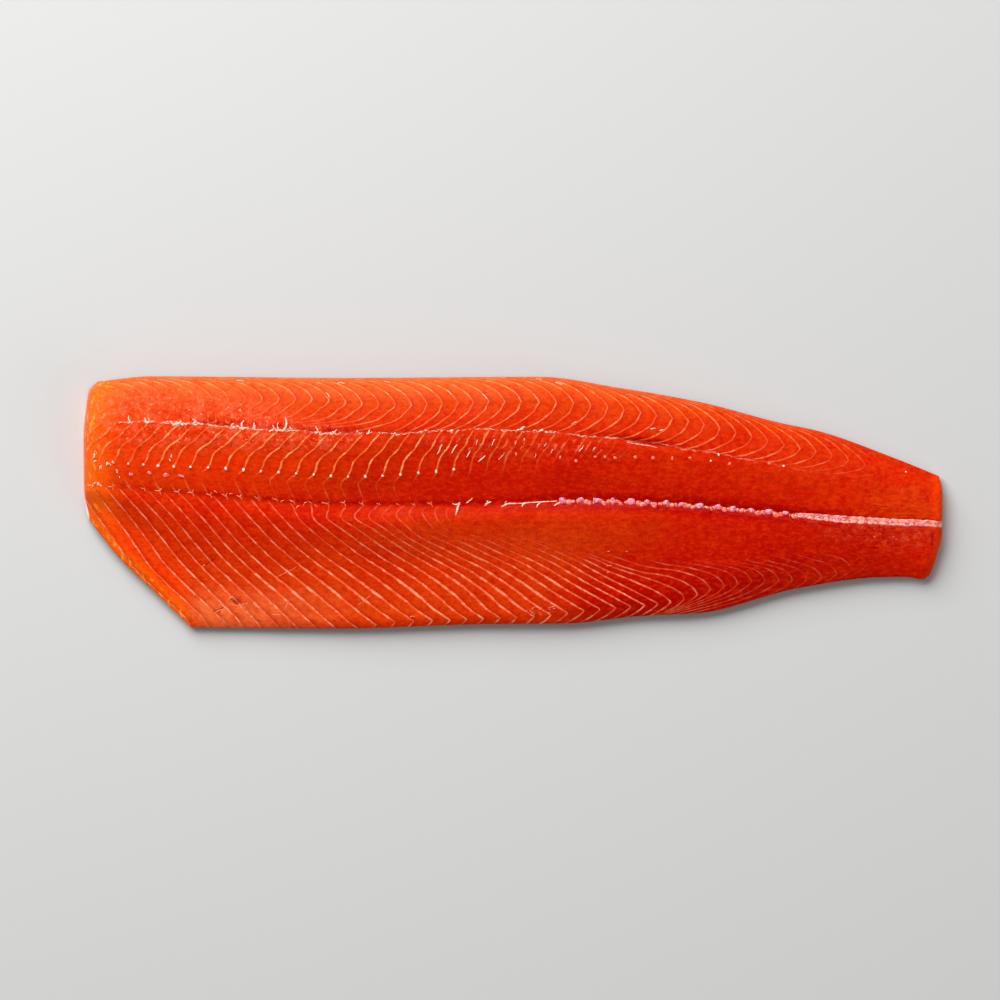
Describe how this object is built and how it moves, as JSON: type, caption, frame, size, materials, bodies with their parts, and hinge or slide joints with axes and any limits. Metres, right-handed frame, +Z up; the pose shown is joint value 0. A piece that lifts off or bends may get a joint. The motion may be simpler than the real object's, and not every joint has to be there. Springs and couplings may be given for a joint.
{
  "type": "raw salmon fillet",
  "caption": "Raw salmon fillet lying skin side down: thick rounded loin, thin slanting belly, narrow cut tail, ridged orange-red flesh over a thin silvery skin.",
  "frame": {"origin": "middle of the footprint's bounding box, on the surface that the skin rests on", "axes": "+X to the tail cut, +Y to the back of the fish, +Z up out of the flesh"},
  "size_m": [0.3872, 0.1136, 0.0213],
  "materials": {
    "salmon_flesh": "wet raw muscle, orange-red, with pale chevron sheets between the flakes",
    "fish_skin": "wet silvery skin with small scales, darker towards the back"
  },
  "bodies": {
    "root": {"flesh": "salmon_flesh", "skin": "fish_skin"}
  },
  "joints": []
}
